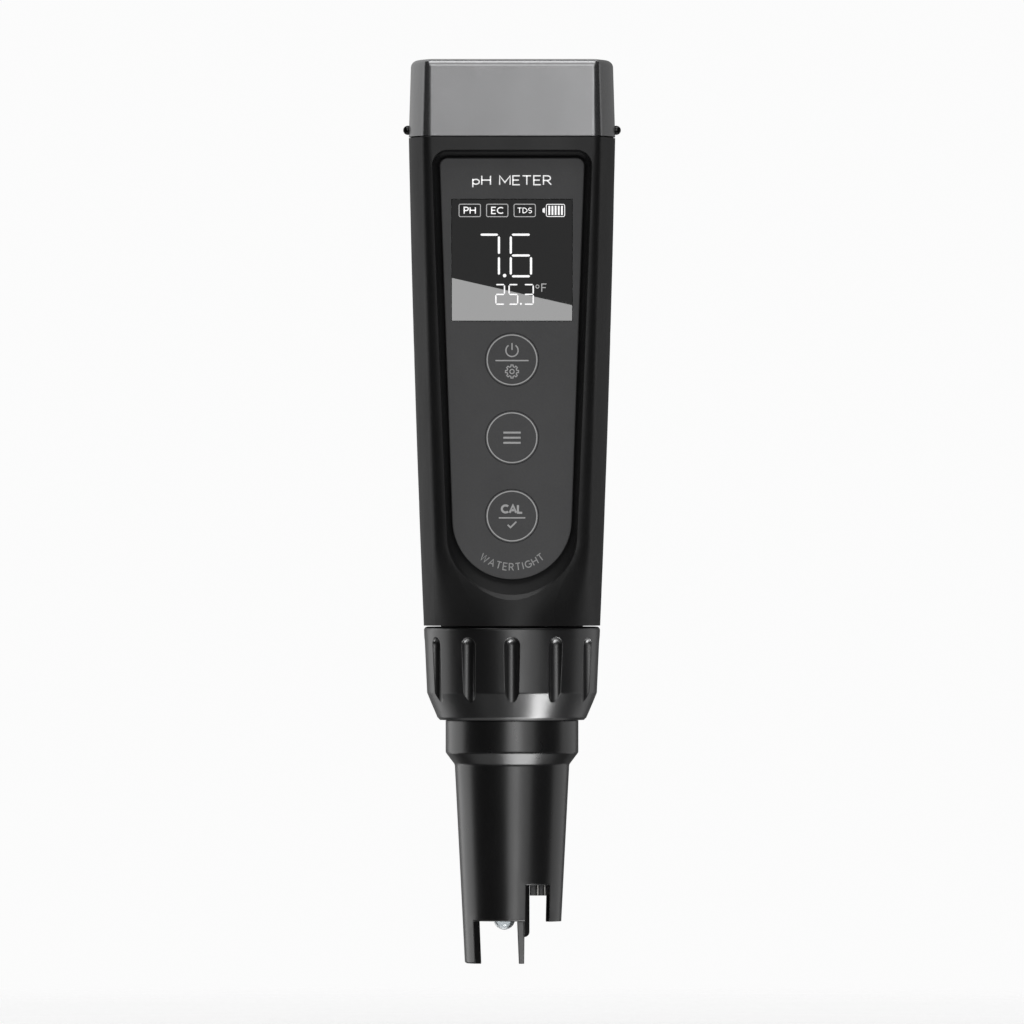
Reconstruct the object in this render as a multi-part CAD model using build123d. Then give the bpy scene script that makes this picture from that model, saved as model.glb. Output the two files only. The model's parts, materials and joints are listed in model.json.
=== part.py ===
from build123d import *

import math
import os

# Handheld pH, conductivity and temperature test pen with a screw-on replaceable probe.
#
# Millimetres. +Z runs up the pen from the probe's tip to the cap, the display and keys face -Y, and the
# origin is on the pen's axis in the plane of the tip. Each sub-part is written to parts/NODE.step.

# ---- driving dimensions: heights along the pen ---------------------------------------------------------
TOTAL_HEIGHT = 178.0
SEAM_Z = 162.7  # parting line between cap and housing
HOUSING_BOTTOM_Z = 66.6
COLLAR_TOP_Z = 66.4
COLLAR_CONE_Z = 53.4
COLLAR_BOTTOM_Z = 48.0
SLEEVE_TOP_Z = 47.9
SLEEVE_BOTTOM_Z = 41.6  # straight sleeve that a storage cap pushes over
BARREL_TOP_Z = 39.2
CELL_SLOT_Z = 15.5  # roof of the conductivity cell's slot
CELL_BOSS_Z = 13.4
GUARD_STEP_Z = 8.4  # roof of the wide window in front of the glass bulb

# ---- driving dimensions: widths --------------------------------------------------------------------------
HEAD_HALF_WIDTH = 20.36
HEAD_HALF_DEPTH = 17.8
NECKING_RADIUS = 17.4  # the housing is round where it meets the collar
HEAD_CORNER = 2.0
HEAD_FRONT_DEG = 0.5  # normal where the nearly flat front meets the corner
HEAD_SIDE_DEG = 71.8  # normal where the corner meets the bowed side
WAIST_CORNER = 3.2
WAIST_Z = 82.2  # below this the box section turns round
WAIST_POWER = 1.7
BELLY = 0.27  # how far the sides bow out from a straight taper
WALL = 2.0

# ---- front panel -----------------------------------------------------------------------------------------
PANEL_Y = -16.2  # outer face of the overlay
OVERLAY_THICKNESS = 0.8
FLOOR_Y = PANEL_Y + OVERLAY_THICKNESS
FLOOR_BACK_Y = -13.8
PANEL_TOP_Z = 158.5
PANEL_TOP_HALF = 14.2
PANEL_ARC_RADIUS = 11.7
PANEL_ARC_Z = 87.5
PANEL_CORNER = 1.6
POCKET_TOP_Z = 159.8
POCKET_TOP_HALF = 15.35
POCKET_ARC_RADIUS = 12.4
POCKET_ARC_Z = 85.1
POCKET_CORNER = 2.8
OVERLAY_GAP = 0.1
BEVEL_Y = -16.7  # plane where the sloping wall meets the bevel
BEVEL_SIDE_SLOPE = 0.45
BEVEL_TOP_SLOPE = 0.30
BEVEL_BOTTOM_SLOPE = 1.35

# ---- display and keys ------------------------------------------------------------------------------------
DISPLAY_HALF_WIDTH = 11.9
DISPLAY_BOTTOM_Z = 126.5
DISPLAY_TOP_Z = 150.5
KEY_HEIGHTS = {"power": 118.9, "menu": 103.6, "cal": 88.2}
KEY_RADIUS = 5.25
KEY_GAP = 0.08
KEY_STEM_RADIUS = 2.2
KEY_STEM_END_Y = -13.35
KEY_TRAVEL = 0.35

# ---- cap -------------------------------------------------------------------------------------------------
SEAM_GAP = 0.25
CAP_WALL = 1.8
CAP_TOP_INSET = 0.45  # draft from the cap's lower edge to its top
CAP_TOP_ROUND = 1.4
CAP_CEILING_Z = TOTAL_HEIGHT - 2.0
NECK_CLEARANCE = 0.2
NECK_WALL = 1.4
NECK_TOP_Z = 171.0
SEAL_GROOVE_Z = (166.4, 168.2)
SEAL_DEPTH = 0.8
SEAL_PROUD = 0.15
STUD_Z = 164.3
STUD_BALL_RADIUS = 0.92
STUD_BALL_X = HEAD_HALF_WIDTH + 0.2

# ---- batteries -------------------------------------------------------------------------------------------
CELL_RADIUS = 5.25
CELL_LENGTH = 43.7
CELL_NUB = 0.8
CELL_BOTTOM_Z = 124.2
CELL_X = 5.6
CELL_ROWS_Y = (-2.9, 8.0)
HOLDER_HALF_WIDTH = 11.9
HOLDER_FRONT_Y = -8.95
HOLDER_BACK_Y = 14.1
HOLDER_BOTTOM_Z = 118.0
HOLDER_TOP_Z = 168.4
HINGE_Y = 12.6
HINGE_Z = 170.4
DOOR_THICKNESS = 1.4

# ---- circuit board ---------------------------------------------------------------------------------------
BOARD_FRONT_Y = -10.8
BOARD_BACK_Y = -9.6
BOARD_HALF_WIDTH = 14.6
BOARD_BOTTOM_Z = 80.0
BOARD_TOP_Z = 158.0
BOARD_SCREW_X = 13.2
BOARD_SCREW_HEIGHTS = (122.0, 155.0)

# ---- collar thread ---------------------------------------------------------------------------------------
THREAD_LEAD = 6.0
THREAD_STARTS = 2
THREAD_SPAN_Z = (58.2, 64.4)
THREAD_BASE = 1.2
THREAD_CREST = 0.6
SPIGOT_RADIUS = 14.0
SPIGOT_BOTTOM_Z = 56.6
SPIGOT_BORE = 11.6
THREAD_HEIGHT = 0.8
COLLAR_BORE = 15.0
COLLAR_TOP_RADIUS = 17.4
COLLAR_LOW_RADIUS = 16.8
COLLAR_END_RADIUS = 14.7
FLUTES = 12
FLUTE_RADIUS = 1.6
FLUTE_FLOOR_RADIUS = 16.0
FLUTE_TOP_Z = 64.4

# ---- probe -----------------------------------------------------------------------------------------------
TIP_RADIUS = 9.3
TIP_ROUND = 0.5
BARREL_RADIUS = 11.3
SLEEVE_RADIUS = 13.1
SLEEVE_INNER_RADIUS = 12.9  # the same sleeve where it runs inside the collar
GUARD_WALL = 1.6
FLANGE_RADIUS = 14.7
FLANGE_BOTTOM_Z = 52.6
FLANGE_TOP_Z = 55.0
PLUG_RADIUS = 11.2
PLUG_BORE = 8.8
PLUG_TOP_Z = 64.0
PIN_CIRCLE = 5.6
PIN_COUNT = 6
PIN_RADIUS = 0.5
PIN_TOP_Z = 70.6
SOCKET_BOTTOM_Z = 65.4
SOCKET_SHOULDER_Z = 70.0
SOCKET_TOP_Z = 72.4
SOCKET_FLANGE_RADIUS = 13.7
SOCKET_SCREW_CIRCLE = 12.6
O_RING_Z = 60.0
O_RING_GROOVE_RADIUS = 10.3
O_RING_RADIUS = 0.6
BULB_X = -1.5
BULB_RADIUS = 2.1
BULB_TIP_Z = 6.6
STEM_RADIUS = 1.55
JUNCTION_SPOT = (-4.6, -3.4)
JUNCTION_RADIUS = 0.8
THERMISTOR_SPOT = (-4.6, 3.4)
THERMISTOR_RADIUS = 1.0
FIN_FOOT = (1.35, 2.4)
FIN_ROOT = (1.0, 2.5)
FIN_FRONT_Y = -6.4
FIN_TOP_Z = 13.2
DIVIDER_X = 3.45
DIVIDER_Z = 5.3
DIVIDER_HALF_DEPTH = 7.3
DIVIDER_BEVEL = 0.82
DIVIDER_ROUND = 1.0
CELL_BOSS_X = 5.2
CELL_BOSS_Y = 4.2
POLE_RADIUS = 0.38
WINDOW_LEFT_DEG = 52.0  # the bulb window's edge, measured from the front
CELL_SLOT_LEFT_DEG = 15.8
CELL_SLOT_ROOT_X = 4.8  # where the slot's right wall would meet the middle plane
CELL_SLOT_LEAN_DEG = 21.7
ROOF_CHAMFER = 0.25
STEP_ROUND = 0.8  # softens both ends of the step cone


def eight_arc_face(z, half_width, half_depth, corner, front_deg, side_deg):
    """A closed outline of eight tangent arcs: front, back, two sides and four corners.

    front_deg and side_deg are the normals' angles, from straight ahead, where the front arc meets the
    corner and where the corner meets the side. A corner as large as both halves makes it a circle.
    """
    a, b = math.radians(front_deg), math.radians(side_deg)
    wide, deep = half_width - corner, half_depth - corner
    k = math.tan(a / 2)
    side = (deep - k * wide) / (math.cos(b) - k * (1 - math.sin(b)))
    cx = wide - side * (1 - math.sin(b))
    cy = side * math.cos(b)

    def on_corner(angle):
        return cx + corner * math.sin(angle), cy + corner * math.cos(angle)

    p1, pm, p2 = on_corner(a), on_corner((a + b) / 2), on_corner(b)
    start = (-p1[0], -p1[1])
    ring = [
        (0, -half_depth), (p1[0], -p1[1]),
        (pm[0], -pm[1]), (p2[0], -p2[1]),
        (half_width, 0), p2,
        pm, p1,
        (0, half_depth), (-p1[0], p1[1]),
        (-pm[0], pm[1]), (-p2[0], p2[1]),
        (-half_width, 0), (-p2[0], -p2[1]),
        (-pm[0], -pm[1]), start,
    ]  # fmt: skip
    edges = []
    last = start
    for middle, end in zip(ring[0::2], ring[1::2]):
        edges.append(ThreePointArc((*last, z), (*middle, z), (*end, z)))
        last = end
    return make_face(Wire(edges))


def body_section(z, inset=0.0):
    """The housing's outline at height z, shrunk by inset on every side."""
    share = (SEAM_Z - z) / (SEAM_Z - HOUSING_BOTTOM_Z)
    turn = max(0.0, (WAIST_Z - z) / (WAIST_Z - HOUSING_BOTTOM_Z)) ** WAIST_POWER
    down = min(1.0, (SEAM_Z - z) / (SEAM_Z - WAIST_Z))
    bow = BELLY * 4 * share * (1 - share)
    half_width = HEAD_HALF_WIDTH + (NECKING_RADIUS - HEAD_HALF_WIDTH) * share + bow
    half_depth = HEAD_HALF_DEPTH + (NECKING_RADIUS - HEAD_HALF_DEPTH) * share + bow
    boxy = HEAD_CORNER + (WAIST_CORNER - HEAD_CORNER) * down
    corner = boxy + (NECKING_RADIUS - boxy) * turn
    front_deg = HEAD_FRONT_DEG + (30.0 - HEAD_FRONT_DEG) * turn
    side_deg = HEAD_SIDE_DEG + (60.0 - HEAD_SIDE_DEG) * turn
    return eight_arc_face(
        z,
        half_width - inset,
        half_depth - inset,
        max(corner - inset, 0.6),
        front_deg,
        side_deg,
    )


def body_loft(inset, low, high):
    """The housing's outside, or its cavity: a waist that turns round, then a long taper above it."""
    waist = [low + (WAIST_Z - low) * i / 4 for i in range(5)]
    taper = [WAIST_Z + (high - WAIST_Z) * i / 3 for i in range(4)]
    return loft([body_section(z, inset) for z in waist]) + loft([body_section(z, inset) for z in taper])


def head_face(z, inset):
    """The head's outline at the seam, shrunk by inset."""
    corner = max(HEAD_CORNER - inset, 0.7)
    return eight_arc_face(
        z, HEAD_HALF_WIDTH - inset, HEAD_HALF_DEPTH - inset, corner, HEAD_FRONT_DEG, HEAD_SIDE_DEG
    )


def head_prism(inset, low, high):
    """A straight prism on the head's outline."""
    return extrude(head_face(low, inset), amount=high - low, dir=(0, 0, 1))


def u_outline(y, top_z, top_half, arc_z, arc_radius, corner):
    """The panel's outline at plane y: square top, sides drawing in, half-round bottom."""
    rise = top_z - arc_z
    lean = math.atan2(top_half - arc_radius, rise)
    foot_x = arc_radius * math.cos(lean)
    foot_z = arc_z - arc_radius * math.sin(lean)
    run = (top_half - corner, top_z)
    side_top = (top_half - corner * math.tan(lean), top_z - corner)
    bend = corner * (1 - math.sqrt(0.5))
    mid = (top_half - bend, top_z - bend)

    def at(x, z):
        return (x, y, z)

    edges = [
        Line(at(-run[0], run[1]), at(*run)),
        ThreePointArc(at(*run), at(*mid), at(*side_top)),
        Line(at(*side_top), at(foot_x, foot_z)),
        ThreePointArc(at(foot_x, foot_z), at(0, arc_z - arc_radius), at(-foot_x, foot_z)),
        Line(at(-foot_x, foot_z), at(-side_top[0], side_top[1])),
        ThreePointArc(at(-side_top[0], side_top[1]), at(-mid[0], mid[1]), at(-run[0], run[1])),
    ]
    return make_face(Wire(edges))


def slab(x0, x1, y0, y1, z0, z1):
    """A box between two corners."""
    size = (x1 - x0, y1 - y0, z1 - z0)
    return Pos((x0 + x1) / 2, (y0 + y1) / 2, (z0 + z1) / 2) * Box(*size)


def rod(x, y, z0, z1, radius):
    """A cylinder along Z."""
    return Pos(x, y, (z0 + z1) / 2) * Cylinder(radius, z1 - z0)


def rod_y(x, z, y0, y1, radius):
    """A cylinder along Y."""
    return Pos(x, (y0 + y1) / 2, z) * Rot(90, 0, 0) * Cylinder(radius, y1 - y0)


def ring_edge(part, radius, z):
    """The circular edge of that radius at height z."""
    rings = part.edges().filter_by(GeomType.CIRCLE)
    return [e for e in rings if abs(e.radius - radius) < 0.01 and abs(e.arc_center.Z - z) < 0.01]


def turned(points):
    """A solid of revolution about Z from (radius, z) corners."""
    return revolve(make_face(Polyline(*[(r, 0, z) for r, z in points], close=True)), Axis.Z)


def wedge(from_deg, to_deg, z0, z1, reach=30.0):
    """A sector from the axis outwards. 0 degrees faces the front, and positive turns towards +X."""
    middle = (from_deg + to_deg) / 2

    def at(deg):
        return reach * math.sin(math.radians(deg)), -reach * math.cos(math.radians(deg)), z0

    face = make_face(Polyline((0, 0, z0), at(from_deg), at(middle), at(to_deg), close=True))
    return extrude(face, amount=z1 - z0, dir=(0, 0, 1))


def thread(core, height, turn_deg):
    """Helical ridges on a cylinder, outwards for a positive height and inwards for a negative one."""
    low, high = THREAD_SPAN_Z
    base, crest = THREAD_BASE, THREAD_CREST
    root = core - math.copysign(0.12, height)
    tip = core + height
    ridges = []
    for start in range(THREAD_STARTS):
        path = Helix(THREAD_LEAD, high - low, core, center=(0, 0, low))
        profile = make_face(
            Polyline(
                (root, 0, low - base / 2),
                (tip, 0, low - crest / 2),
                (tip, 0, low + crest / 2),
                (root, 0, low + base / 2),
                close=True,
            )
        )
        ridge = sweep(profile, path=path, is_frenet=True)
        ridges.append(Rot(0, 0, turn_deg + start * 360 / THREAD_STARTS) * ridge)
    return ridges


# ---- housing ---------------------------------------------------------------------------------------------
def pocket():
    """The recess for the front panel: a sloping wall round the overlay, then a bevel out to the surface."""
    gap = OVERLAY_GAP
    foot = (PANEL_TOP_Z + gap, PANEL_TOP_HALF + gap, PANEL_ARC_Z, PANEL_ARC_RADIUS + gap, PANEL_CORNER + gap)
    mouth = (POCKET_TOP_Z, POCKET_TOP_HALF, POCKET_ARC_Z, POCKET_ARC_RADIUS, POCKET_CORNER)
    depth = 2.4
    side, top, bottom = (depth * s for s in (BEVEL_SIDE_SLOPE, BEVEL_TOP_SLOPE, BEVEL_BOTTOM_SLOPE))
    outer = (
        POCKET_TOP_Z + top,
        POCKET_TOP_HALF + side,
        POCKET_ARC_Z - bottom + side,
        POCKET_ARC_RADIUS + side,
        POCKET_CORNER + side,
    )
    wall = loft([u_outline(FLOOR_Y, *foot), u_outline(BEVEL_Y, *mouth)], ruled=True)
    bevel = loft([u_outline(BEVEL_Y, *mouth), u_outline(BEVEL_Y - depth, *outer)], ruled=True)
    return wall + bevel


def socket_screw_spots():
    angles = [math.radians(a) for a in (60, 180, 300)]
    return [(SOCKET_SCREW_CIRCLE * math.cos(a), SOCKET_SCREW_CIRCLE * math.sin(a)) for a in angles]


def socket_seat():
    """Bore of the spigot, its keyway and the shoulder the socket sits on."""
    bore = rod(0, 0, SPIGOT_BOTTOM_Z - 1, SOCKET_SHOULDER_Z + 0.5, SPIGOT_BORE)
    keyway = slab(-1.0, 1.0, 0, SPIGOT_BORE + 1.0, SPIGOT_BOTTOM_Z - 1, PLUG_TOP_Z + 1.2)
    return bore + keyway


def housing_shell():
    shell = body_loft(0.0, HOUSING_BOTTOM_Z, SEAM_Z)
    shell += head_prism(CAP_WALL + NECK_CLEARANCE, SEAM_Z - 1, NECK_TOP_Z)
    shell += rod(0, 0, SPIGOT_BOTTOM_Z, HOUSING_BOTTOM_Z + 1, SPIGOT_RADIUS)
    cavity = body_loft(WALL, SOCKET_SHOULDER_Z, SEAM_Z - 2.0)
    cavity &= slab(-30, 30, FLOOR_BACK_Y, 30, 60, 200)
    shell -= cavity
    neck_inset = CAP_WALL + NECK_CLEARANCE + NECK_WALL
    shell -= head_prism(neck_inset, SEAM_Z - 3, NECK_TOP_Z + 1)
    shell -= socket_seat()
    shell -= pocket()
    shell -= slab(
        -DISPLAY_HALF_WIDTH - 0.3,
        DISPLAY_HALF_WIDTH + 0.3,
        FLOOR_Y - 1,
        FLOOR_BACK_Y + 1,
        DISPLAY_BOTTOM_Z - 0.3,
        DISPLAY_TOP_Z + 0.3,
    )
    for z in KEY_HEIGHTS.values():
        shell -= rod_y(0, z, FLOOR_Y - 1, FLOOR_Y + 0.6, KEY_RADIUS + 0.15)
        shell -= rod_y(0, z, FLOOR_Y - 1, FLOOR_BACK_Y + 1, KEY_STEM_RADIUS + 0.2)
    groove_floor = head_prism(CAP_WALL + NECK_CLEARANCE + SEAL_DEPTH, *SEAL_GROOVE_Z)
    shell -= head_prism(0, *SEAL_GROOVE_Z) - groove_floor
    for ridge in thread(SPIGOT_RADIUS, THREAD_HEIGHT, 0):
        shell += ridge
    for x, y in socket_screw_spots():
        shell -= rod(x, y, SOCKET_SHOULDER_Z - 3.0, SOCKET_SHOULDER_Z + 0.1, 0.5)
    return shell


def cap_seal():
    neck = CAP_WALL + NECK_CLEARANCE
    low, high = SEAL_GROOVE_Z[0] + 0.1, SEAL_GROOVE_Z[1] - 0.1
    return head_prism(neck - SEAL_PROUD, low, high) - head_prism(neck + SEAL_DEPTH - 0.05, low, high)


# ---- front panel -----------------------------------------------------------------------------------------
def face_overlay():
    panel = extrude(
        u_outline(FLOOR_Y, PANEL_TOP_Z, PANEL_TOP_HALF, PANEL_ARC_Z, PANEL_ARC_RADIUS, PANEL_CORNER),
        amount=OVERLAY_THICKNESS,
        dir=(0, -1, 0),
    )
    panel = chamfer(panel.faces().sort_by(Axis.Y)[0].outer_wire().edges(), 0.12)
    gap = 0.05
    panel -= slab(
        -DISPLAY_HALF_WIDTH - gap,
        DISPLAY_HALF_WIDTH + gap,
        PANEL_Y - 1,
        FLOOR_Y + 1,
        DISPLAY_BOTTOM_Z - gap,
        DISPLAY_TOP_Z + gap,
    )
    for z in KEY_HEIGHTS.values():
        panel -= rod_y(0, z, PANEL_Y - 1, FLOOR_Y + 1, KEY_RADIUS + KEY_GAP)
    return panel


def display_window():
    pane = slab(
        -DISPLAY_HALF_WIDTH, DISPLAY_HALF_WIDTH, PANEL_Y, FLOOR_Y, DISPLAY_BOTTOM_Z, DISPLAY_TOP_Z
    )
    return chamfer(pane.faces().sort_by(Axis.Y)[0].edges(), 0.1)


def lcd_glass():
    half = DISPLAY_HALF_WIDTH + 0.2
    low, high = DISPLAY_BOTTOM_Z - 0.2, DISPLAY_TOP_Z + 0.2
    front = slab(-half, half, -15.3, -14.3, low + 1.2, high)
    rear = slab(-half, half, -14.3, -13.3, low, high)
    return front + rear


def lcd_backlight():
    frame = slab(-12.6, 12.6, -13.2, -12.0, DISPLAY_BOTTOM_Z + 2.2, DISPLAY_TOP_Z - 2.2)
    return fillet(frame.edges().filter_by(Axis.Y), 0.8)


def lcd_contact_strips():
    """Conductive rubber strips between the display glass and the board."""
    strips = [slab(-11, 11, -13.2, BOARD_FRONT_Y - 0.02, z - 0.6, z + 0.6) for z in (127.4, 149.6)]
    return Compound(children=[s.solid() for s in strips])


def key(z):
    """A round key with its stem; it travels along +Y."""
    disc = rod_y(0, z, PANEL_Y, FLOOR_Y + 0.05, KEY_RADIUS)
    disc = fillet(disc.faces().sort_by(Axis.Y)[0].edges(), 0.08)
    stem = rod_y(0, z, FLOOR_Y, KEY_STEM_END_Y, KEY_STEM_RADIUS)
    return disc + stem


def switch_plunger(z):
    return rod_y(0, z, KEY_STEM_END_Y + 0.03, -12.2, 1.25)


def key_switches():
    bodies = []
    for z in KEY_HEIGHTS.values():
        base = slab(-2.6, 2.6, -12.7, BOARD_FRONT_Y - 0.02, z - 2.6, z + 2.6)
        base = chamfer(base.edges().filter_by(Axis.Y), 0.4)
        base -= rod_y(0, z, -13.0, -11.7, 1.35)
        bodies.append(base.solid())
    return Compound(children=bodies)


# ---- circuit board ---------------------------------------------------------------------------------------
def main_board():
    board = slab(
        -BOARD_HALF_WIDTH, BOARD_HALF_WIDTH, BOARD_FRONT_Y, BOARD_BACK_Y, 116.0, BOARD_TOP_Z
    )
    board = fillet(board.edges().filter_by(Axis.Y), 1.2)
    foot = slab(-12.6, 12.6, BOARD_FRONT_Y, BOARD_BACK_Y, BOARD_BOTTOM_Z, 118.0)
    board += fillet(foot.edges().filter_by(Axis.Y), 1.2)
    for x in (-BOARD_SCREW_X, BOARD_SCREW_X):
        for z in BOARD_SCREW_HEIGHTS:
            board -= rod_y(x, z, BOARD_FRONT_Y - 1, BOARD_BACK_Y + 1, 0.85)
    return board


def board_screws():
    screws = []
    for x in (-BOARD_SCREW_X, BOARD_SCREW_X):
        for z in BOARD_SCREW_HEIGHTS:
            head = rod_y(x, z, BOARD_FRONT_Y - 0.9, BOARD_FRONT_Y - 0.02, 1.35)
            head -= slab(x - 2, x + 2, BOARD_FRONT_Y - 1.2, BOARD_FRONT_Y - 0.5, z - 0.18, z + 0.18)
            screws.append((head + rod_y(x, z, BOARD_FRONT_Y - 0.3, -6.4, 0.7)).solid())
    return Compound(children=screws)


def board_chips():
    """The microcontroller, the amplifier and the display driver on the board's lower front."""
    spots = ((-7.5, 111.4, 3.2, 3.2), (7.6, 111.2, 2.4, 2.8), (-7.4, 96.0, 2.2, 3.4))
    chips = []
    for x, z, half_x, half_z in spots:
        chip = slab(x - half_x, x + half_x, -12.1, BOARD_FRONT_Y - 0.02, z - half_z, z + half_z)
        chips.append(chamfer(chip.faces().sort_by(Axis.Y)[0].edges(), 0.15).solid())
    return Compound(children=chips)


def board_capacitors():
    caps = []
    for x, z in ((7.4, 98.5), (7.4, 94.5), (-7.4, 88.5), (7.6, 86.5)):
        caps.append(rod_y(x, z, -12.9, BOARD_FRONT_Y - 0.02, 1.4).solid())
    return Compound(children=caps)


def probe_cable():
    """Flat flexible cable from the board's foot to the probe socket."""
    strip = Polyline(
        (0, -9.5, 88.0), (0, -9.5, 80.4), (0, -6.15, 76.0), (0, -2.1, 74.45), (0, 4.0, 74.45),
        (0, 4.0, 74.75), (0, -2.0, 74.75), (0, -5.9, 76.3), (0, -9.2, 80.6), (0, -9.2, 88.0),
        close=True,
    )  # fmt: skip
    return extrude(make_face(strip), amount=4.0, dir=(1, 0, 0), both=True)


# ---- batteries -------------------------------------------------------------------------------------------
def cell_spots():
    return [(x, y) for x in (-CELL_X, CELL_X) for y in CELL_ROWS_Y]


def battery_holder():
    """The frame that slides in from the top and carries the cells, the board and the door's hinge."""
    holder = slab(
        -HOLDER_HALF_WIDTH, HOLDER_HALF_WIDTH, HOLDER_FRONT_Y, HOLDER_BACK_Y, HOLDER_BOTTOM_Z, HOLDER_TOP_Z
    )
    holder = fillet(holder.edges().filter_by(Axis.Z), 2.5)
    for x, y in cell_spots():
        holder -= rod(x, y, HOLDER_BOTTOM_Z + 1.2, HOLDER_TOP_Z + 1, CELL_RADIUS + 0.12)
    for side in (-1, 1):
        for z in BOARD_SCREW_HEIGHTS:
            x0, x1 = sorted((side * (HOLDER_HALF_WIDTH - 0.4), side * 15.2))
            boss = slab(x0, x1, BOARD_BACK_Y + 0.05, -5.2, z - 2.2, z + 2.2)
            holder += boss - rod_y(side * BOARD_SCREW_X, z, BOARD_BACK_Y - 1, -6.2, 0.72)
    for side in (-1, 1):
        x0, x1 = sorted((side * 8.2, side * 10.6))
        ear = slab(x0, x1, HINGE_Y - 1.3, HINGE_Y + 1.3, HOLDER_TOP_Z - 0.5, HINGE_Z)
        ear += Pos((x0 + x1) / 2, HINGE_Y, HINGE_Z) * Rot(0, 90, 0) * Cylinder(1.3, x1 - x0)
        holder += ear
    holder -= Pos(0, HINGE_Y, HINGE_Z) * Rot(0, 90, 0) * Cylinder(0.62, 30)
    return holder


def battery_cells():
    cells = []
    for x, y in cell_spots():
        can = rod(x, y, CELL_BOTTOM_Z, CELL_BOTTOM_Z + CELL_LENGTH, CELL_RADIUS)
        can = fillet(can.edges().sort_by(Axis.Z)[0], 0.6)
        nub_z = CELL_BOTTOM_Z + CELL_LENGTH
        cells.append((can + rod(x, y, nub_z - 0.2, nub_z + CELL_NUB, 1.9)).solid())
    return Compound(children=cells)


def battery_springs():
    springs = []
    low = HOLDER_BOTTOM_Z + 1.9
    wire = 0.3
    path = Helix(1.25, CELL_BOTTOM_Z - low - 2 * wire - 0.1, 3.0, center=(0, 0, low + wire))
    coil = sweep(Plane(origin=path @ 0, z_dir=path % 0) * Circle(wire), path=path, is_frenet=True)
    for x, y in cell_spots():
        springs.append((Pos(x, y, 0) * coil).solid())
    return Compound(children=springs)


def spring_plates():
    plates = []
    for x, y in cell_spots():
        plates.append(rod(x, y, HOLDER_BOTTOM_Z + 1.25, HOLDER_BOTTOM_Z + 1.75, 4.9).solid())
    return Compound(children=plates)


def battery_door():
    """Lid over the cells, hinged at the back, with a finger lip at the front."""
    low, high = HINGE_Z - DOOR_THICKNESS / 2, HINGE_Z + DOOR_THICKNESS / 2
    lid = slab(-11.6, 11.6, HOLDER_FRONT_Y + 0.2, HINGE_Y - 1.6, low, high)
    lid = fillet(lid.edges().filter_by(Axis.Z), 1.5)
    lid += slab(-7.9, 7.9, HINGE_Y - 2.2, HINGE_Y, low, high)
    lid += Pos(0, HINGE_Y, HINGE_Z) * Rot(0, 90, 0) * Cylinder(1.2, 15.8)
    lid -= Pos(0, HINGE_Y, HINGE_Z) * Rot(0, 90, 0) * Cylinder(0.65, 20)
    lid += slab(-3.5, 3.5, HOLDER_FRONT_Y - 0.5, HOLDER_FRONT_Y + 0.8, low, high)
    for x in (-4, -2, 0, 2, 4):
        lid += slab(x - 0.4, x + 0.4, -6.0, -2.0, high - 0.1, high + 0.5)
    return lid


def door_hinge_pin():
    return Pos(0, HINGE_Y, HINGE_Z) * Rot(0, 90, 0) * Cylinder(0.58, 21.2)


def door_contacts():
    """Two plates under the door, each bridging a front and a back cell."""
    high = HINGE_Z - DOOR_THICKNESS / 2 - 0.03
    plates = [slab(x - 3.0, x + 3.0, -5.6, 10.2, high - 0.4, high) for x in (-CELL_X, CELL_X)]
    return Compound(children=[p.solid() for p in plates])


# ---- cap -------------------------------------------------------------------------------------------------
def top_cap():
    low = SEAM_Z + SEAM_GAP
    height = TOTAL_HEIGHT - low
    sections = []
    for share in (0.0, 0.5, 1.0):
        sections.append(head_face(low + height * share, CAP_TOP_INSET * share))
    cap = loft(sections)
    rim = cap.faces().sort_by(Axis.Z)[-1].edges()
    cap = fillet(rim, CAP_TOP_ROUND)
    cap -= head_prism(CAP_WALL, low - 1, CAP_CEILING_Z)
    for side in (-1, 1):
        turn = Rot(0, side * 90, 0)
        cap -= Pos(side * HEAD_HALF_WIDTH, 0, STUD_Z) * turn * Cylinder(0.5, 10)
        cap -= Pos(side * (HEAD_HALF_WIDTH + 1.2), 0, STUD_Z) * turn * Cylinder(STUD_BALL_RADIUS + 0.03, 4)
    return cap


def lanyard_studs():
    """A ball stud on each side of the cap, pressed through its wall from outside."""
    studs = []
    for side in (-1, 1):
        inner = side * (HEAD_HALF_WIDTH - CAP_WALL + 0.1)
        outer = side * (HEAD_HALF_WIDTH + 0.2)
        shank = Pos((inner + outer) / 2, 0, STUD_Z) * Rot(0, 90, 0) * Cylinder(0.48, abs(outer - inner))
        studs.append((Pos(side * STUD_BALL_X, 0, STUD_Z) * Sphere(STUD_BALL_RADIUS) + shank).solid())
    return Compound(children=studs)


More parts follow.
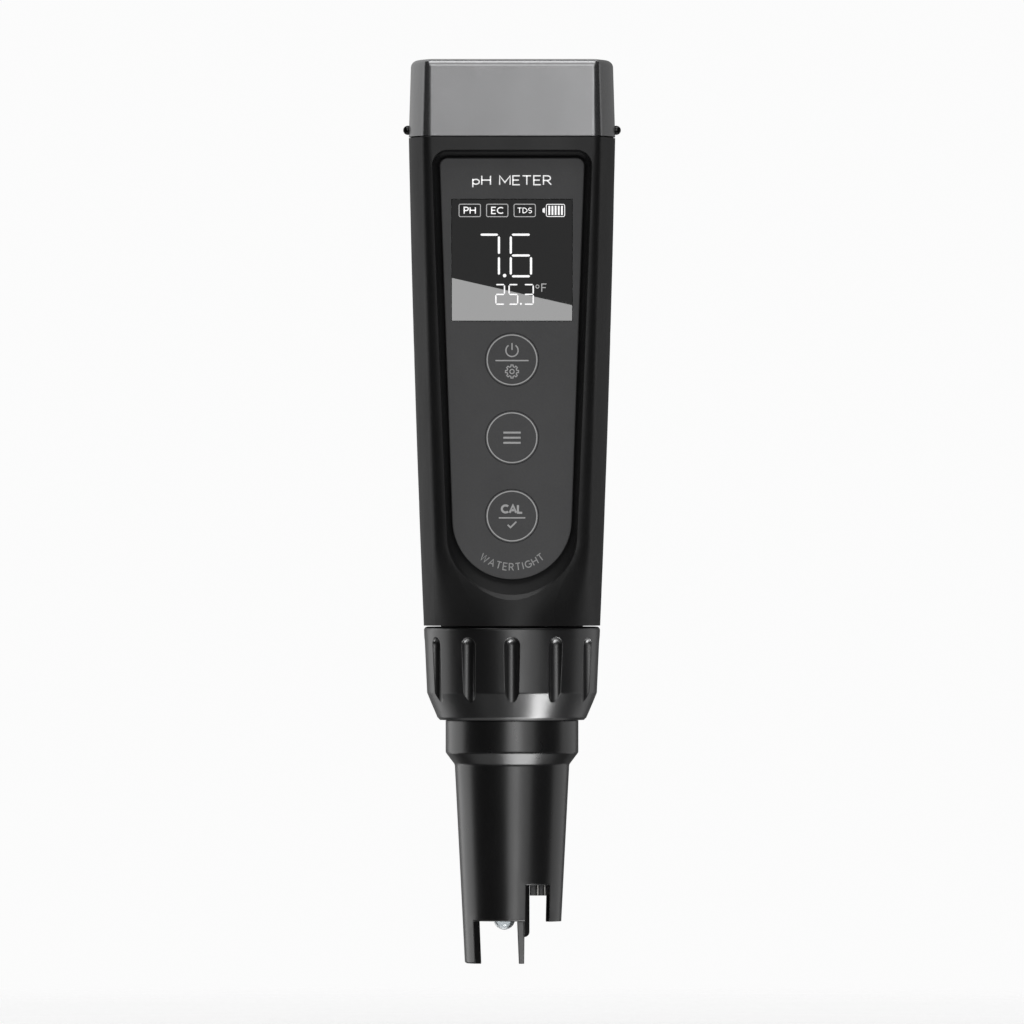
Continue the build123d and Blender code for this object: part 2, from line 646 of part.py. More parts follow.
# ---- collar ----------------------------------------------------------------------------------------------
def collar_nut():
    nut = turned(
        [
            (COLLAR_BORE, COLLAR_TOP_Z),
            (COLLAR_TOP_RADIUS, COLLAR_TOP_Z),
            (COLLAR_LOW_RADIUS, COLLAR_CONE_Z),
            (COLLAR_END_RADIUS, COLLAR_BOTTOM_Z + 0.5),
            (COLLAR_END_RADIUS - 0.5, COLLAR_BOTTOM_Z),
            (SLEEVE_RADIUS + 0.2, COLLAR_BOTTOM_Z),
            (SLEEVE_RADIUS + 0.2, FLANGE_BOTTOM_Z - 0.1),
            (COLLAR_BORE, FLANGE_BOTTOM_Z - 0.1),
        ]
    )
    nut = fillet(ring_edge(nut, COLLAR_TOP_RADIUS, COLLAR_TOP_Z), 0.7)
    nut = fillet(ring_edge(nut, COLLAR_LOW_RADIUS, COLLAR_CONE_Z), 0.8)
    cutter_r = FLUTE_FLOOR_RADIUS + FLUTE_RADIUS
    top = FLUTE_TOP_Z - FLUTE_RADIUS
    for i in range(FLUTES):
        cutter = rod(0, -cutter_r, COLLAR_BOTTOM_Z - 1, top, FLUTE_RADIUS)
        cutter += Pos(0, -cutter_r, top) * Sphere(FLUTE_RADIUS)
        nut -= Rot(0, 0, i * 360 / FLUTES) * cutter
    half_pitch = 180 / THREAD_STARTS
    for ridge in thread(COLLAR_BORE, -THREAD_HEIGHT, half_pitch):
        nut += ridge
    return nut


# ---- probe -----------------------------------------------------------------------------------------------
def bore_radius(z):
    """The barrel's inner radius at height z."""
    return TIP_RADIUS - GUARD_WALL + (BARREL_RADIUS - TIP_RADIUS) * min(z, BARREL_TOP_Z) / BARREL_TOP_Z


def barrel_outside():
    return turned(
        [
            (0, 0),
            (TIP_RADIUS, 0),
            (BARREL_RADIUS, BARREL_TOP_Z),
            (SLEEVE_RADIUS, SLEEVE_BOTTOM_Z),
            (SLEEVE_RADIUS, SLEEVE_TOP_Z),
            (SLEEVE_INNER_RADIUS, SLEEVE_TOP_Z),
            (SLEEVE_INNER_RADIUS, FLANGE_BOTTOM_Z),
            (FLANGE_RADIUS, FLANGE_BOTTOM_Z),
            (FLANGE_RADIUS, FLANGE_TOP_Z),
            (PLUG_RADIUS, FLANGE_TOP_Z),
            (PLUG_RADIUS, O_RING_Z - 0.8),
            (O_RING_GROOVE_RADIUS, O_RING_Z - 0.8),
            (O_RING_GROOVE_RADIUS, O_RING_Z + 0.8),
            (PLUG_RADIUS, O_RING_Z + 0.8),
            (PLUG_RADIUS, PLUG_TOP_Z),
            (0, PLUG_TOP_Z),
        ]
    )


def probe_barrel():
    outside = barrel_outside()
    outside = fillet(ring_edge(outside, SLEEVE_RADIUS, SLEEVE_BOTTOM_Z), STEP_ROUND)
    outside = fillet(ring_edge(outside, BARREL_RADIUS, BARREL_TOP_Z), STEP_ROUND)
    outside = fillet(ring_edge(outside, TIP_RADIUS, 0), TIP_ROUND)
    barrel = outside - turned(
        [
            (0, -1),
            (bore_radius(0), -1),
            (bore_radius(0), 0),
            (bore_radius(BARREL_TOP_Z), BARREL_TOP_Z),
            (bore_radius(BARREL_TOP_Z), 50.0),
            (PLUG_BORE, 51.5),
            (PLUG_BORE, PLUG_TOP_Z + 1),
            (0, PLUG_TOP_Z + 1),
        ]
    )
    # Below the step only the left prong stays; above it a slot is cut front and back for the cell.
    open_front = wedge(-WINDOW_LEFT_DEG, 50, -1, GUARD_STEP_Z)
    open_back = wedge(130, 180 + WINDOW_LEFT_DEG, -1, GUARD_STEP_Z)
    open_right = wedge(48, 132, -1, GUARD_STEP_Z - 0.1)
    barrel -= [open_front, open_back, open_right]
    barrel -= [cell_slot(1), cell_slot(-1)]
    barrel = chamfer(slot_roof_edges(barrel), ROOF_CHAMFER)
    barrel += (fin_blade() & outside) + divider()
    key_rib = slab(-0.85, 0.85, PLUG_RADIUS - 0.6, PLUG_RADIUS + 1.1, FLANGE_TOP_Z, 59.0)
    return barrel + key_rib


def fin_blade():
    """The middle fin: it thins towards the tip and runs from the window to the back wall."""
    step, top = GUARD_STEP_Z, FIN_TOP_Z
    foot = ((FIN_FOOT[0], 0), (FIN_FOOT[1], 0))
    root = ((FIN_ROOT[1], step), (FIN_ROOT[1], top), (FIN_ROOT[0], top), (FIN_ROOT[0], step))
    face = make_face(Polyline(*[(x, FIN_FRONT_Y, z) for x, z in foot + root], close=True))
    return extrude(face, amount=20.0, dir=(0, 1, 0))


def divider():
    """The wall between the bulb's chamber and the conductivity slot; its front face turns to the slot."""
    near, far, half = FIN_ROOT[1] - 0.1, DIVIDER_X, DIVIDER_HALF_DEPTH
    plan = [(near, -half), (far, -half + DIVIDER_BEVEL), (far, half), (near, half)]
    face = make_face(Polyline(*[(x, y, DIVIDER_Z) for x, y in plan], close=True))
    wall = extrude(face, amount=CELL_SLOT_Z - DIVIDER_Z, dir=(0, 0, 1))
    corner = wall.edges().filter_by(Axis.Y).group_by(Axis.Z)[0].sort_by(Axis.X)[-1]
    return fillet(corner, DIVIDER_ROUND)


def cell_slot(facing):
    """The opening over the conductivity cell; facing is 1 for the front and -1 for the back."""
    reach = 30.0
    left = reach * math.tan(math.radians(CELL_SLOT_LEFT_DEG))
    right = CELL_SLOT_ROOT_X + reach * math.tan(math.radians(CELL_SLOT_LEAN_DEG))
    plan = [(0, 0), (left, -reach * facing), (right, -reach * facing), (CELL_SLOT_ROOT_X, 0)]
    face = make_face(Polyline(*[(x, y, 1.0) for x, y in plan], close=True))
    return extrude(face, amount=CELL_SLOT_Z - 1.0, dir=(0, 0, 1))


def slot_roof_edges(barrel):
    """The outer edges of the slots' roofs."""
    arcs = barrel.edges().filter_by(GeomType.CIRCLE)
    roofs = (GUARD_STEP_Z, CELL_SLOT_Z)
    return [e for e in arcs if e.radius > TIP_RADIUS and min(abs(e.arc_center.Z - z) for z in roofs) < 0.01]


def probe_seal():
    ring = rod(0, 0, FLANGE_TOP_Z + 0.02, SPIGOT_BOTTOM_Z - 0.02, 13.6)
    ring -= rod(0, 0, FLANGE_TOP_Z - 1, SPIGOT_BOTTOM_Z + 1, 12.7)
    return ring


def plug_o_ring():
    return Pos(0, 0, O_RING_Z) * Torus(O_RING_GROOVE_RADIUS + O_RING_RADIUS, O_RING_RADIUS)


def pin_spots():
    step = 360 / PIN_COUNT
    angles = [math.radians(30 + i * step) for i in range(PIN_COUNT)]
    return [(PIN_CIRCLE * math.cos(a), PIN_CIRCLE * math.sin(a)) for a in angles]


def plug_insert():
    insert = rod(0, 0, 58.5, PLUG_TOP_Z - 0.2, PLUG_BORE - 0.05)
    for x, y in pin_spots():
        insert -= rod(x, y, 50, 70, PIN_RADIUS + 0.02)
    return insert


def plug_pins():
    pins = []
    for x, y in pin_spots():
        pin = rod(x, y, 56.5, PIN_TOP_Z, PIN_RADIUS)
        pins.append(chamfer(pin.edges().sort_by(Axis.Z)[-1], 0.2).solid())
    return Compound(children=pins)


def socket_body():
    body = rod(0, 0, SOCKET_BOTTOM_Z, SOCKET_SHOULDER_Z + 0.5, SPIGOT_BORE - 0.1)
    body += rod(0, 0, SOCKET_SHOULDER_Z + 0.02, SOCKET_TOP_Z, SOCKET_FLANGE_RADIUS)
    for x, y in pin_spots():
        body -= rod(x, y, 60, 80, 0.95)
    for x, y in socket_screw_spots():
        body -= rod(x, y, 60, 80, 0.65)
    return body


def socket_contacts():
    contacts = []
    for x, y in pin_spots():
        tube = rod(x, y, SOCKET_BOTTOM_Z + 0.3, SOCKET_TOP_Z + 1.2, 0.93)
        tube -= rod(x, y, 60, PIN_TOP_Z + 0.6, PIN_RADIUS + 0.06)
        contacts.append(tube.solid())
    return Compound(children=contacts)


def socket_screws():
    screws = []
    for x, y in socket_screw_spots():
        screw = rod(x, y, SOCKET_SHOULDER_Z - 2.6, SOCKET_TOP_Z + 0.2, 0.48)
        head = rod(x, y, SOCKET_TOP_Z + 0.02, SOCKET_TOP_Z + 0.8, 1.1)
        screws.append((screw + head).solid())
    return Compound(children=screws)


def sensor_carrier():
    """The plug in the barrel's foot that holds the glass electrode, junction, cell and thermistor."""
    low, high = CELL_SLOT_Z + 0.1, 22.0
    clearance = 0.05
    carrier = turned(
        [
            (0, low),
            (bore_radius(low) - clearance, low),
            (bore_radius(high) - clearance, high),
            (0, high),
        ]
    )
    boss = slab(CELL_BOSS_X - 1.7, CELL_BOSS_X + 1.7, -CELL_BOSS_Y, CELL_BOSS_Y, CELL_BOSS_Z, low + 0.5)
    carrier += fillet(boss.edges().filter_by(Axis.Z), 0.3)
    carrier -= rod(BULB_X, 0, 0, 30, STEM_RADIUS + 0.05)
    carrier -= rod(*THERMISTOR_SPOT, 0, 30, THERMISTOR_RADIUS + 0.05)
    carrier -= rod(*JUNCTION_SPOT, 0, 30, JUNCTION_RADIUS + 0.05)
    for x, y in pole_spots():
        carrier -= rod(x, y, 0, 30, POLE_RADIUS + 0.02)
    return carrier


def pole_spots():
    return [(CELL_BOSS_X + dx, y) for dx in (-0.15, 1.25) for y in (-CELL_BOSS_Y, CELL_BOSS_Y)]


def conductivity_poles():
    poles = [rod(x, y, CELL_BOSS_Z + 0.1, 24.0, POLE_RADIUS) for x, y in pole_spots()]
    return Compound(children=[p.solid() for p in poles])


def ph_glass_electrode():
    """Thin glass stem with a sensing bulb blown on its end."""
    centre = BULB_TIP_Z + BULB_RADIUS
    glass = rod(BULB_X, 0, centre, 46.0, STEM_RADIUS) + Pos(BULB_X, 0, centre) * Sphere(BULB_RADIUS)
    hollow = rod(BULB_X, 0, centre, 47.0, STEM_RADIUS - 0.4)
    hollow += Pos(BULB_X, 0, centre) * Sphere(BULB_RADIUS - 0.35)
    return glass - hollow


def inner_electrode_wire():
    return rod(BULB_X, 0, BULB_TIP_Z + 1.6, 50.0, 0.3)


def reference_junction():
    return rod(*JUNCTION_SPOT, CELL_SLOT_Z - 0.6, 24.0, JUNCTION_RADIUS)


def temperature_sensor():
    tube = rod(*THERMISTOR_SPOT, 10.0, 30.0, THERMISTOR_RADIUS)
    return fillet(tube.edges().sort_by(Axis.Z)[0], 0.7)


NODES = {
    "housing_shell": housing_shell,
    "cap_seal": cap_seal,
    "face_overlay": face_overlay,
    "display_window": display_window,
    "lcd_glass": lcd_glass,
    "lcd_backlight": lcd_backlight,
    "lcd_contact_strips": lcd_contact_strips,
    "key_switches": key_switches,
    "main_board": main_board,
    "board_screws": board_screws,
    "board_chips": board_chips,
    "board_capacitors": board_capacitors,
    "probe_cable": probe_cable,
    "battery_holder": battery_holder,
    "battery_cells": battery_cells,
    "battery_springs": battery_springs,
    "spring_plates": spring_plates,
    "battery_door": battery_door,
    "door_hinge_pin": door_hinge_pin,
    "door_contacts": door_contacts,
    "top_cap": top_cap,
    "lanyard_studs": lanyard_studs,
    "collar_nut": collar_nut,
    "probe_barrel": probe_barrel,
    "probe_seal": probe_seal,
    "plug_o_ring": plug_o_ring,
    "plug_insert": plug_insert,
    "plug_pins": plug_pins,
    "socket_body": socket_body,
    "socket_contacts": socket_contacts,
    "socket_screws": socket_screws,
    "sensor_carrier": sensor_carrier,
    "conductivity_poles": conductivity_poles,
    "ph_glass_electrode": ph_glass_electrode,
    "inner_electrode_wire": inner_electrode_wire,
    "reference_junction": reference_junction,
    "temperature_sensor": temperature_sensor,
}


def main():
    os.makedirs("parts", exist_ok=True)
    for name, make in NODES.items():
        export_step(make(), f"parts/{name}.step")
    for name, z in KEY_HEIGHTS.items():
        export_step(key(z), f"parts/key_{name}.step")
        export_step(switch_plunger(z), f"parts/switch_plunger_{name}.step")


main()
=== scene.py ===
import json
import math

import bpy
from mathutils import Matrix, Vector


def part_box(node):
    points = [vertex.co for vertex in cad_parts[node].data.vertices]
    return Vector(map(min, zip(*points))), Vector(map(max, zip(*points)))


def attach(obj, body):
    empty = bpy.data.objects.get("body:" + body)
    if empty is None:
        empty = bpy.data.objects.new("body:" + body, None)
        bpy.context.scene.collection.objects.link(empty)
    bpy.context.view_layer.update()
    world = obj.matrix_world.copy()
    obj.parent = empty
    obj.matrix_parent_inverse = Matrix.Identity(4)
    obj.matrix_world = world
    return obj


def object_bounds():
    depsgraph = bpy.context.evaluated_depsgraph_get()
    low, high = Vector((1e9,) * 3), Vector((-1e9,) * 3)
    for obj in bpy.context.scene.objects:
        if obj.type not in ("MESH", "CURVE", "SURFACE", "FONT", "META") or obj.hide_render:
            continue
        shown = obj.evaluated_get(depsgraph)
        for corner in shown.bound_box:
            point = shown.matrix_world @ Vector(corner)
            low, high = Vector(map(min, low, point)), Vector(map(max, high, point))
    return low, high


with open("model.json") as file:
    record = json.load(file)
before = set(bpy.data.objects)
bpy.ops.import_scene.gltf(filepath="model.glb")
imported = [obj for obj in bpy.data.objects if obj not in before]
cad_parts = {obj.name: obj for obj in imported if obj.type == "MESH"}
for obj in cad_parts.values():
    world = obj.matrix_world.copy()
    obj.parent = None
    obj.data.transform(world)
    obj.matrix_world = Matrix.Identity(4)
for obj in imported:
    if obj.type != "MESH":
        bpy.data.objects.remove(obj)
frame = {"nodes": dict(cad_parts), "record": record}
cad_bounds = [[float(c) for c in corner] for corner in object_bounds()]

# The stage and the materials are in metres, the printed graphics in millimetres. X is to the right as the
# display is read, the display faces -Y, and Z is up.
MM = 0.001
MICRON = 0.000001

nodes = frame["nodes"]
scene = bpy.context.scene

# ---------------------------------------------------------------- materials
# Most of a noise texture's values lie between these two.
NOISE_LOW = 0.3
NOISE_HIGH = 0.7

# Places of the colour sockets on a mix node, which has several of each name.
MIX_A = 6
MIX_B = 7
MIX_RESULT = 2

WHITE = (1, 1, 1)
SPECK = (0.93, 0.93, 0.93)
CLEAR_IOR = 1.49


def scaled(color, factor):
    """A darker or lighter colour, up to full white."""
    return tuple(min(1, channel * factor) for channel in color)


class Mat:
    """A small node-graph builder on one Principled material."""

    def __init__(self, name):
        self.mat = bpy.data.materials.new(name)
        self.mat.use_nodes = True
        self.tree = self.mat.node_tree
        self.tree.nodes.clear()
        out = self.new("ShaderNodeOutputMaterial")
        self.bsdf = self.new("ShaderNodeBsdfPrincipled")
        self.link(self.bsdf.outputs["BSDF"], out.inputs["Surface"])
        self.coord = self.new("ShaderNodeTexCoord").outputs["Object"]

    def new(self, kind, **props):
        node = self.tree.nodes.new(kind)
        for key, value in props.items():
            setattr(node, key, value)
        return node

    def link(self, source, target):
        self.tree.links.new(source, target)

    def set(self, **inputs):
        """Feeds Principled inputs by name, with an underscore for each space."""
        for key, value in inputs.items():
            self.feed(self.bsdf.inputs[key.replace("_", " ")], value)

    def feed(self, target, value):
        """Links the input to a socket, or sets it to a plain value."""
        if isinstance(value, bpy.types.NodeSocket):
            self.link(value, target)
        else:
            target.default_value = value

    def mapped(self, stretch):
        node = self.new("ShaderNodeMapping")
        node.inputs["Scale"].default_value = stretch
        self.link(self.coord, node.inputs["Vector"])
        return node.outputs["Vector"]

    def noise(self, scale, detail=3, rough=0.55, stretch=(1, 1, 1)):
        node = self.new("ShaderNodeTexNoise")
        node.inputs["Scale"].default_value = scale
        node.inputs["Detail"].default_value = detail
        node.inputs["Roughness"].default_value = rough
        self.link(self.mapped(stretch), node.inputs["Vector"])
        return node.outputs["Fac"]

    def span(self, fac, low, high, from_low=NOISE_LOW, from_high=NOISE_HIGH):
        """The factor stretched to run from low to high."""
        node = self.new("ShaderNodeMapRange")
        node.inputs["From Min"].default_value = from_low
        node.inputs["From Max"].default_value = from_high
        node.inputs["To Min"].default_value = low
        node.inputs["To Max"].default_value = high
        self.link(fac, node.inputs["Value"])
        return node.outputs["Result"]

    def tint(self, fac, low, high):
        """A colour that runs from low to high with the factor."""
        node = self.new("ShaderNodeValToRGB")
        stops = node.color_ramp.elements
        for stop, place, color in ((stops[0], NOISE_LOW, low), (stops[1], NOISE_HIGH, high)):
            stop.position = place
            stop.color = (*color, 1)
        self.link(fac, node.inputs["Fac"])
        return node.outputs["Color"]

    def mix(self, fac, a, b, blend="MIX"):
        node = self.new("ShaderNodeMix", data_type="RGBA", blend_type=blend)
        self.feed(node.inputs["Factor"], fac)
        self.feed(node.inputs[MIX_A], a)
        self.feed(node.inputs[MIX_B], b)
        return node.outputs[MIX_RESULT]

    def above(self, height):
        """1 where the object is higher than height, and 0 below."""
        split = self.new("ShaderNodeSeparateXYZ")
        self.link(self.coord, split.inputs["Vector"])
        test = self.new("ShaderNodeMath", operation="GREATER_THAN")
        self.link(split.outputs["Z"], test.inputs[0])
        test.inputs[1].default_value = height
        return test.outputs[0]

    def softened(self, radius):
        """A normal that rounds sharp edges over the given radius."""
        node = self.new("ShaderNodeBevel")
        node.samples = 6
        node.inputs["Radius"].default_value = radius
        return node.outputs["Normal"]

    def bump(self, fac, strength, distance, below=None):
        """A normal with relief of the given depth, laid over another normal where one is given."""
        node = self.new("ShaderNodeBump")
        node.inputs["Strength"].default_value = strength
        node.inputs["Distance"].default_value = distance
        self.link(fac, node.inputs["Height"])
        if below:
            self.link(below, node.inputs["Normal"])
        return node.outputs["Normal"]


def moulded(name, color, rough, grain=5200, relief=0.35, metallic=0.0, drift=0.12, spread=0.10, spec=0.5,
            edge=None):
    """Moulded plastic: fine spark-eroded grain, slow colour drift, handling marks in the gloss.

    grain is how fine the grain is and relief how strong, drift is the share by which the colour varies,
    spread is the range of the roughness, and sharp edges look rounded over the radius edge.
    """
    m = Mat(name)
    body = m.tint(m.noise(90, detail=4), scaled(color, 1 - drift), scaled(color, 1 + drift))
    specks = m.tint(m.noise(2600, detail=2), SPECK, WHITE)
    smears = m.noise(140, detail=5, rough=0.6, stretch=(1, 1, 0.35))
    under = m.softened(edge) if edge else None
    fine = m.bump(m.noise(grain, detail=2, rough=0.5), relief, 6 * MICRON, below=under)
    m.set(
        Base_Color=m.mix(1.0, body, specks, blend="MULTIPLY"),
        Roughness=m.span(smears, rough - spread / 2, rough + spread / 2),
        Normal=m.bump(m.noise(260, detail=2), 0.05, 20 * MICRON, below=fine),
        Metallic=metallic,
        Specular_IOR_Level=spec,
    )
    return m.mat


def metal(name, color, rough):
    """Drawn or ground metal with fine directional lines and slight tarnish."""
    m = Mat(name)
    lines = m.noise(260, detail=4, rough=0.6, stretch=(1, 1, 5))
    m.set(
        Base_Color=m.tint(m.noise(140), scaled(color, 0.8), color),
        Roughness=m.span(lines, rough * 0.85, rough * 1.2),
        Normal=m.bump(lines, 0.25, 4 * MICRON),
        Metallic=1.0,
    )
    return m.mat


def glazed(name, color, rough, transmission=0.0, waves=0.02):
    """Smooth glass or clear plastic with faint smears."""
    m = Mat(name)
    m.set(
        Base_Color=m.tint(m.noise(60, detail=4), scaled(color, 0.85), color),
        Roughness=m.span(m.noise(180, detail=6, rough=0.65), rough * 0.6, rough * 1.6),
        Normal=m.bump(m.noise(120, detail=2), waves, 50 * MICRON),
        Transmission_Weight=transmission,
        IOR=CLEAR_IOR,
    )
    return m.mat


def ink(name, level, glow):
    """Screen print or a backlit display segment, in a neutral tone of the given level; on print the glow
    is painted light.
    """
    m = Mat(name)
    color = scaled(WHITE, level)
    shade = m.tint(m.noise(2500), scaled(color, 0.9), color)
    m.set(
        Base_Color=shade,
        Roughness=m.span(m.noise(3000, detail=2), 0.42, 0.6),
        Normal=m.bump(m.noise(6000, detail=2), 0.15, 10 * MICRON),
        # The emission is painted light on the print, which gives off none; on the display segments it
        # stands for the backlight.
        Emission_Color=shade,
        Emission_Strength=glow,
    )
    return m.mat


def wrapped_cell(name):
    """Battery sleeve: a dark body, a lighter band at the positive end and a bare steel rim."""
    cell_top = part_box("battery_cells")[1].z
    band_height = 12.5 * MM
    rim_height = 1.1 * MM
    navy = (0.02, 0.045, 0.09, 1)
    amber = (0.42, 0.27, 0.09, 1)
    steel = (0.6, 0.6, 0.58, 1)
    m = Mat(name)
    sleeve = m.mix(m.above(cell_top - band_height), navy, amber)
    m.set(
        Base_Color=m.mix(m.above(cell_top - rim_height), sleeve, steel),
        Roughness=m.span(m.noise(300, detail=4), 0.22, 0.38),
        Normal=m.bump(m.noise(400, detail=2), 0.08, 50 * MICRON),
        Metallic=0.6,
    )
    return m.mat


def circuit_board(name):
    """Solder mask with tracks showing through."""
    m = Mat(name)
    tracks = m.new("ShaderNodeTexBrick")
    tracks.inputs["Scale"].default_value = 160
    tracks.inputs["Mortar Size"].default_value = 0.03
    tracks.inputs["Color1"].default_value = (0.012, 0.10, 0.035, 1)
    tracks.inputs["Color2"].default_value = (0.010, 0.075, 0.028, 1)
    tracks.inputs["Mortar"].default_value = (0.03, 0.17, 0.07, 1)
    m.link(m.mapped((1, 1, 0.6)), tracks.inputs["Vector"])
    m.set(
        Base_Color=tracks.outputs["Color"],
        Roughness=m.span(m.noise(400), 0.3, 0.45),
        Normal=m.bump(tracks.outputs["Fac"], 0.2, 30 * MICRON),
    )
    return m.mat


# The outer skin, as the photograph shows it.
DEEP_BLACK = (0.004, 0.004, 0.0042)
SKIN = {
    "housing_black": (moulded, dict(color=(0.012, 0.012, 0.0124), rough=0.42, grain=4200, relief=0.45,
                                    spec=0.55, edge=0.15 * MM)),
    "cap_grey": (moulded, dict(color=(0.35, 0.35, 0.355), rough=0.22, grain=4600, relief=0.40,
                               metallic=0.9, drift=0.03, spread=0.05)),
    "overlay_grey": (moulded, dict(color=(0.106, 0.106, 0.108), rough=0.55, grain=7000, relief=0.25,
                                   drift=0.04, spec=0.45)),
    "display_window": (glazed, dict(color=(0.0035, 0.0035, 0.0038), rough=0.003, waves=0.0002)),
    "stud_black": (moulded, dict(color=(0.006, 0.006, 0.006), rough=0.12, grain=2000, relief=0.05,
                                 spread=0.04)),
    "collar_black": (moulded, dict(color=DEEP_BLACK, rough=0.31, grain=4400, relief=0.30, spread=0.06,
                                   spec=0.72, edge=0.3 * MM)),
    "probe_black": (moulded, dict(color=DEEP_BLACK, rough=0.29, grain=4400, relief=0.22, spread=0.05,
                                  spec=0.75, edge=0.3 * MM)),
    "carrier_dark": (moulded, dict(color=(0.022, 0.022, 0.023), rough=0.45)),
    "pole_steel": (metal, dict(color=(0.30, 0.295, 0.285), rough=0.42)),
    "electrode_glass": (glazed, dict(color=(0.86, 0.90, 0.92), rough=0.03, transmission=0.92)),
}
# What the joints uncover, or what only a section shows.
INSIDE = {
    "lcd_glass": (glazed, dict(color=(0.05, 0.055, 0.05), rough=0.08)),
    "backlight_white": (moulded, dict(color=(0.7, 0.71, 0.69), rough=0.5, drift=0.03)),
    "seal_rubber": (moulded, dict(color=(0.012, 0.012, 0.012), rough=0.62, grain=3000, relief=0.5)),
    "switch_black": (moulded, dict(color=(0.02, 0.02, 0.02), rough=0.45)),
    "plunger_white": (moulded, dict(color=(0.62, 0.62, 0.58), rough=0.45, drift=0.04)),
    "board_green": (circuit_board, {}),
    "chip_black": (moulded, dict(color=(0.015, 0.015, 0.015), rough=0.55)),
    "capacitor_can": (metal, dict(color=(0.6, 0.6, 0.6), rough=0.3)),
    "screw_steel": (metal, dict(color=(0.55, 0.55, 0.54), rough=0.32)),
    "flex_amber": (moulded, dict(color=(0.30, 0.11, 0.015), rough=0.35, spread=0.06)),
    "inner_black": (moulded, dict(color=(0.022, 0.022, 0.024), rough=0.48, grain=3600, relief=0.4)),
    "cell_wrap": (wrapped_cell, {}),
    "contact_nickel": (metal, dict(color=(0.62, 0.6, 0.55), rough=0.28)),
    "contact_gold": (metal, dict(color=(0.78, 0.55, 0.2), rough=0.25)),
    "electrode_wire": (metal, dict(color=(0.7, 0.69, 0.66), rough=0.4)),
    "junction_ceramic": (moulded, dict(color=(0.72, 0.70, 0.64), rough=0.7, grain=2600, relief=0.6,
                                       drift=0.05)),
}


def dress_nodes():
    """Gives every CAD node the finish of its material slot in the record."""
    finishes = {name: make(name, **looks) for name, (make, looks) in {**SKIN, **INSIDE}.items()}
    for part in frame["record"]["subparts"]:
        node = nodes[part["node"]]
        finish = finishes[part["material_slot"]]
        for slot in node.material_slots:
            slot.material = finish
        if not node.material_slots:
            node.data.materials.append(finish)


dress_nodes()
# The print's glow is painted light that brightens it; the segments' glow stands for the display's
# backlight.
PRINT = ink("print_white", 0.80, glow=0.75)
PRINT_SOFT = ink("print_grey", 0.36, glow=0.26)
PRINT_KEY = ink("print_key", 0.40, glow=0.34)
SEGMENT = ink("segment_white", 0.95, glow=0.75)
SEGMENT_SOFT = ink("segment_grey", 0.62, glow=0.35)

# ---------------------------------------------------------------- outlines and strokes, in mm
PANEL_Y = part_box("face_overlay")[0].y / MM
INK_LIFT = 0.02
INK_SINK = 0.01
CORNER_STEPS = 5
MITRE_FLOOR = 0.625  # a bend widens a stroke by one over this at most


def arc(cx, cz, r, start, end, steps):
    """Points on a circle, in degrees anticlockwise from +X as the pen is read."""
    turns = [math.radians(start + (end - start) * i / steps) for i in range(steps + 1)]
    return [(cx + r * math.cos(t), cz + r * math.sin(t)) for t in turns]


def ring(cx, cz, r, steps):
    """A whole circle whose last point isn't its first."""
    return arc(cx, cz, r, 0, 360, steps)[:-1]


def rounded_box(cx, cz, width, height, r):
    points = []
    for sx, sz, start in ((1, 1, 0), (-1, 1, 90), (-1, -1, 180), (1, -1, 270)):
        corner_x = cx + sx * (width / 2 - r)
        corner_z = cz + sz * (height / 2 - r)
        points += arc(corner_x, corner_z, r, start, start + 90, CORNER_STEPS)
    return points


def line(points, width):
    """An open stroke along the points."""
    return (points, width, False)


def loop(points, width):
    """A stroke along the points and back to the first."""
    return (points, width, True)


def edges_of(points, width, closed):
    """The left and right edges of a line of the given width along a polyline, mitred at its bends."""
    count = len(points)
    left, right = [], []
    for i, point in enumerate(points):
        here = Vector(point)
        ways = []
        if i or closed:
            ways.append((here - Vector(points[i - 1])).normalized())
        if i < count - 1 or closed:
            ways.append((Vector(points[(i + 1) % count]) - here).normalized())
        along = sum(ways, Vector((0, 0))).normalized()
        bend = along.dot(ways[0])
        offset = Vector((-along.y, along.x)) * width / 2 / max(MITRE_FLOOR, bend)
        left.append(here + offset)
        right.append(here - offset)
    return left, right


def stroke_quads(points, width, closed):
    """The outlines that fill a stroke, one for each of its straight lengths."""
    left, right = edges_of(points, width, closed)
    count = len(points)
    quads = []
    for i in range(count if closed else count - 1):
        j = (i + 1) % count
        quads.append([left[i], left[j], right[j], right[i]])
    return quads


def printed(name, body, material, strokes=(), fills=()):
    """One piece of raised ink on the panel: strokes are lines and loops, fills are closed outlines."""
    outlines = [quad for stroke in strokes for quad in stroke_quads(*stroke)] + list(fills)
    face = (PANEL_Y - INK_LIFT) * MM
    root = (PANEL_Y + INK_SINK) * MM
    verts, faces = [], []
    for outline in outlines:
        base = len(verts)
        count = len(outline)
        verts += [(x * MM, face, z * MM) for x, z in outline]
        verts += [(x * MM, root, z * MM) for x, z in outline]
        faces.append(tuple(range(base, base + count)))
        for i in range(count):
            j = (i + 1) % count
            faces.append((base + i, base + count + i, base + count + j, base + j))
    mesh = bpy.data.meshes.new(name)
    mesh.from_pydata(verts, [], faces)
    mesh.update()
    mesh.materials.append(material)
    piece = bpy.data.objects.new(name, mesh)
    scene.collection.objects.link(piece)
    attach(piece, body)


# ---------------------------------------------------------------- lettering
LETTER_GAP = 0.22
ARC_LETTER_GAP = 0.34
BOWL = arc(0.30, 0.74, 0.26, 80, -80, 12) + [(0.30, 0.48), (0, 0.48)]

